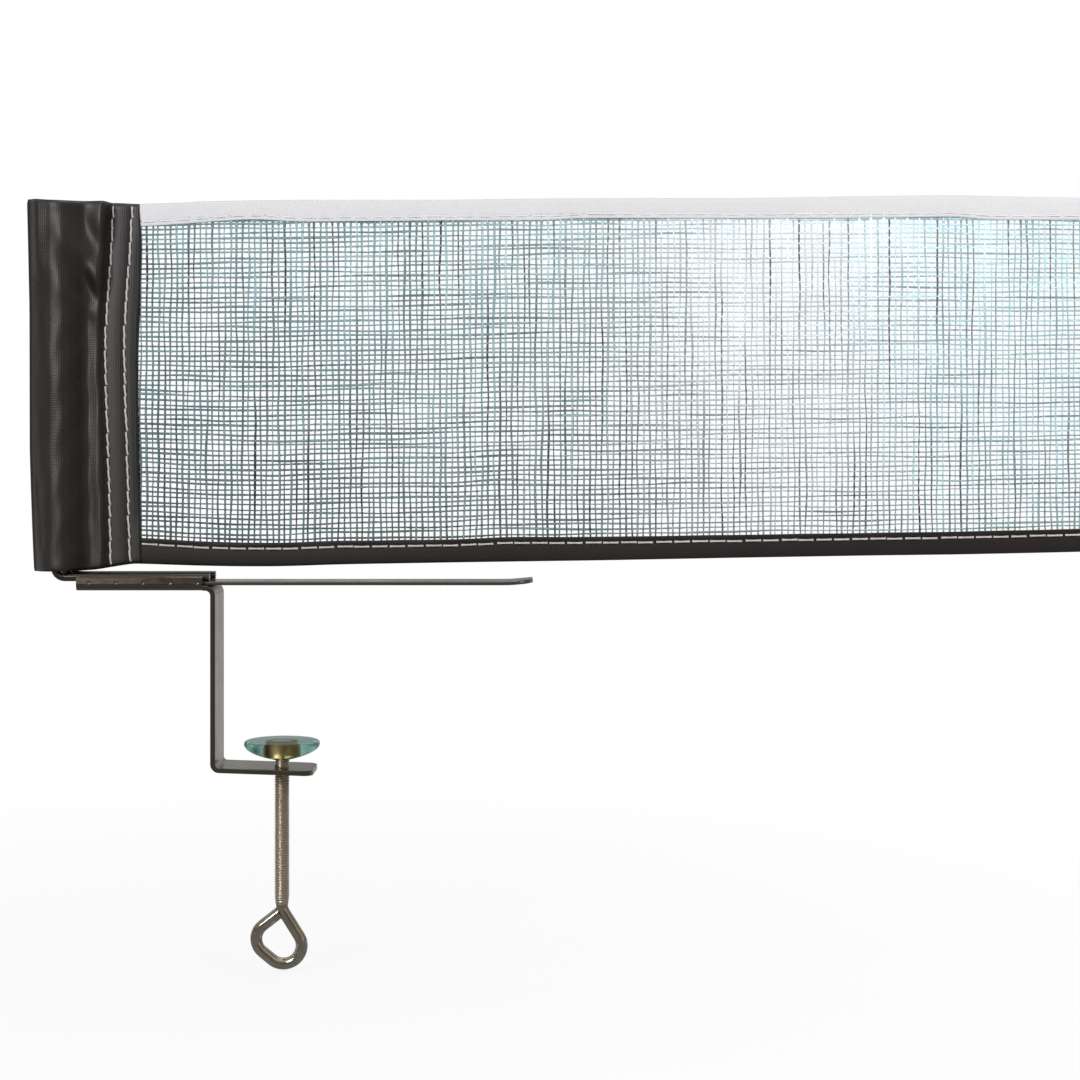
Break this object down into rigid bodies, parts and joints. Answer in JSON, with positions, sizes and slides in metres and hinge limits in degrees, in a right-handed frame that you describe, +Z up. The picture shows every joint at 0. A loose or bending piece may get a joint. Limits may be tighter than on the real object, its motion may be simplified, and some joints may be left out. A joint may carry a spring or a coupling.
{
  "type": "table tennis net clamp",
  "caption": "Bent steel screw clamp for a table edge with a wire post, a fabric sleeve and the end of a table tennis net, with a swivel pad and an eye on the screw.",
  "frame": {"origin": "on the underside of the upper jaw plate, in the middle of its width, in line with the edge of the table and 4 mm from the leg's inner face", "axes": "+X along the net, from the post over the table; +Z up; +Y across the net, away from the viewer"},
  "size_m": [0.4289, 0.03, 0.3083],
  "materials": {
    "strap_steel": "nickel plated, satin",
    "plate_steel": "nickel plated, satin",
    "rivet_steel": "plated, domed",
    "wire_steel": "bright plated wire",
    "screw_steel": "nickel plated",
    "socket_brass": "dull yellow plating",
    "cap_vinyl": "clear teal soft vinyl",
    "net_cord": "woven dark teal thread",
    "tape_cotton": "white woven tape",
    "hem_nylon": "black woven nylon",
    "sleeve_nylon": "charcoal coated nylon",
    "seam_thread": "off-white thread",
    "tape_thread": "white thread"
  },
  "bodies": {
    "frame": {"clamp_strap": "strap_steel", "upper_jaw_plate": "plate_steel", "plate_rivets": "rivet_steel"},
    "post": {"post_wire": "wire_steel"},
    "net": {"net_mesh": "net_cord", "top_tape": "tape_cotton", "bottom_hem": "hem_nylon", "net_sleeve": "sleeve_nylon", "sleeve_seam_inner": "seam_thread", "sleeve_seam_outer": "seam_thread", "hem_seam": "seam_thread", "tape_seam": "tape_thread"},
    "pad": {"pad_cap": "cap_vinyl", "pad_socket": "socket_brass"},
    "screw": {"clamp_screw": "screw_steel"}
  },
  "joints": [
    {"name": "post_slide", "type": "slide", "parent": "frame", "child": "post", "axis": [1, 0, 0], "range_m": [-0.03, 0.003]},
    {"name": "net_lift", "type": "slide", "parent": "post", "child": "net", "axis": [0, 0, 1], "range_m": [0, 0.16]},
    {"name": "pad_travel", "type": "slide", "parent": "frame", "child": "pad", "axis": [0, 0, 1], "range_m": [-0.0024, 0.0476]},
    {"name": "screw_turn", "type": "hinge", "parent": "pad", "child": "screw", "pos_m": [0.021, 0, -0.1], "axis": [0, 0, 1], "range_deg": [-866, 17138]}
  ],
  "couplings": [
    {"joint": "screw_turn", "follows": "pad_travel", "rad_per_m": 6283.2}
  ]
}
